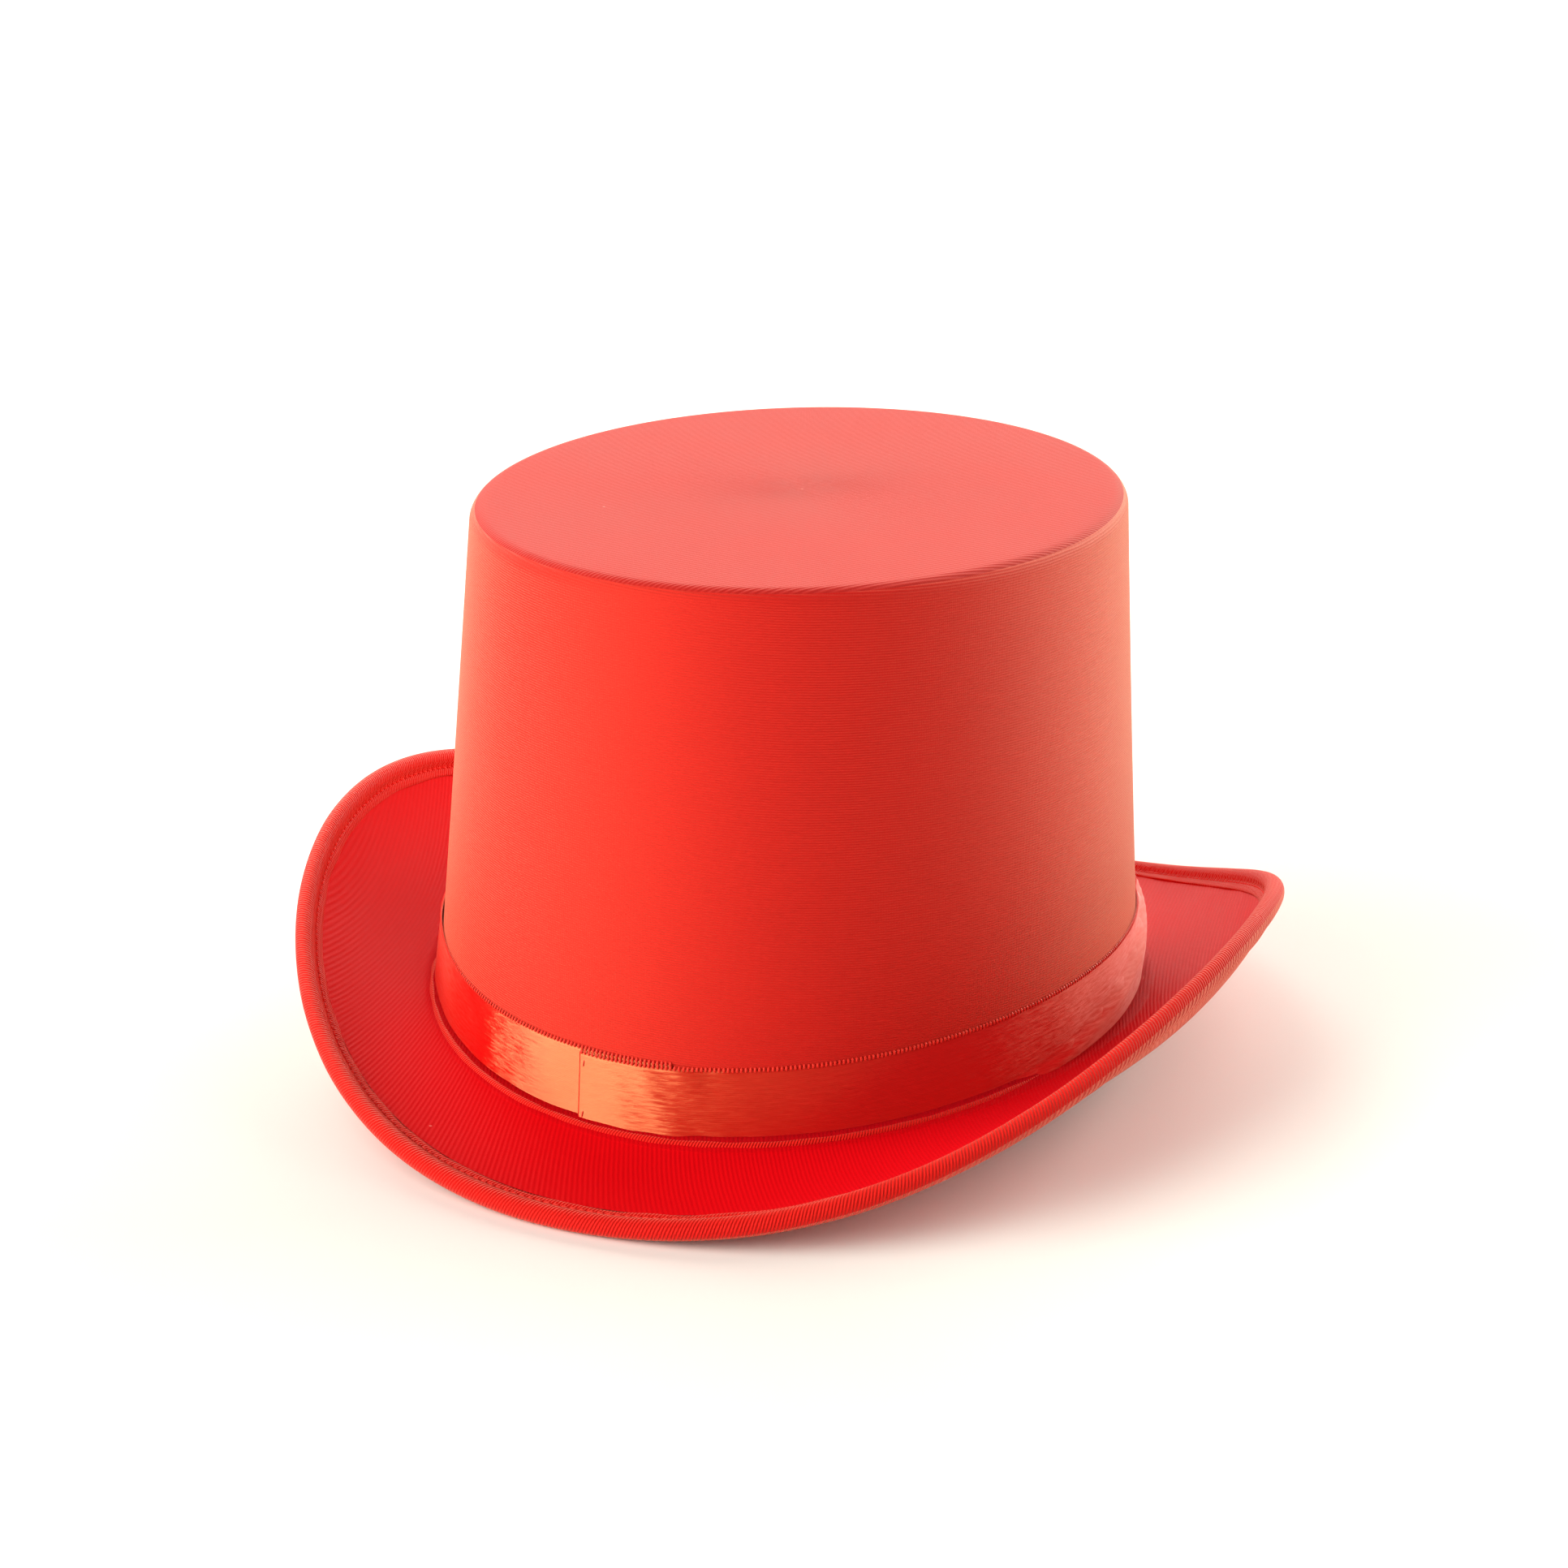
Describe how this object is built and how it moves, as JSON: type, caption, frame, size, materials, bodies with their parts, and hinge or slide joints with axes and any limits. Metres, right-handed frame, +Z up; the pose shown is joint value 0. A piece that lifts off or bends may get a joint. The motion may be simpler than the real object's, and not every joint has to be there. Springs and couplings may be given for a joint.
{
  "type": "top hat",
  "caption": "Satin top hat with a flat-topped oval crown, a ribbon round its foot and a brim whose bound edge curls up at the sides.",
  "frame": {"origin": "on the surface that the hat stands on, under the middle of the crown", "axes": "+Z up through the tip of the crown, -Y to the front of the hat, +X to the wearer's left"},
  "size_m": [0.2502, 0.2806, 0.1423],
  "materials": {
    "cover_satin": "red satin, smooth face out",
    "brim_satin": "deep red satin on the brim",
    "binding_satin": "red bias-cut satin binding with a corded face",
    "ribbon_satin": "glossy red satin ribbon with woven edges",
    "stiffener": "stiffened non-woven felt",
    "red_thread": "red polyester sewing thread",
    "steel_wire": "drawn spring wire",
    "sleeve_metal": "crimped tube",
    "cotton_tape": "woven cotton tape",
    "lining_satin": "thin red lining satin",
    "sweatband_cloth": "ribbed red grosgrain",
    "label_cloth": "blank woven label"
  },
  "bodies": {
    "root": {"crown_cover": "cover_satin", "crown_shell": "stiffener", "headsize_tape": "cotton_tape", "headsize_seam": "red_thread", "hat_ribbon": "ribbon_satin", "ribbon_tacks": "red_thread", "side_lining": "lining_satin", "tip_lining": "lining_satin", "lining_seam": "lining_satin", "sweatband": "sweatband_cloth", "sweatband_seam": "red_thread", "sweatband_join_tape": "cotton_tape", "care_label": "label_cloth", "label_stitching": "red_thread", "brim_core": "stiffener", "brim_top_cover": "brim_satin", "brim_under_cover": "brim_satin", "brim_wire": "steel_wire", "wire_sleeve": "sleeve_metal", "brim_binding": "binding_satin", "binding_topstitch": "red_thread"}
  },
  "joints": []
}
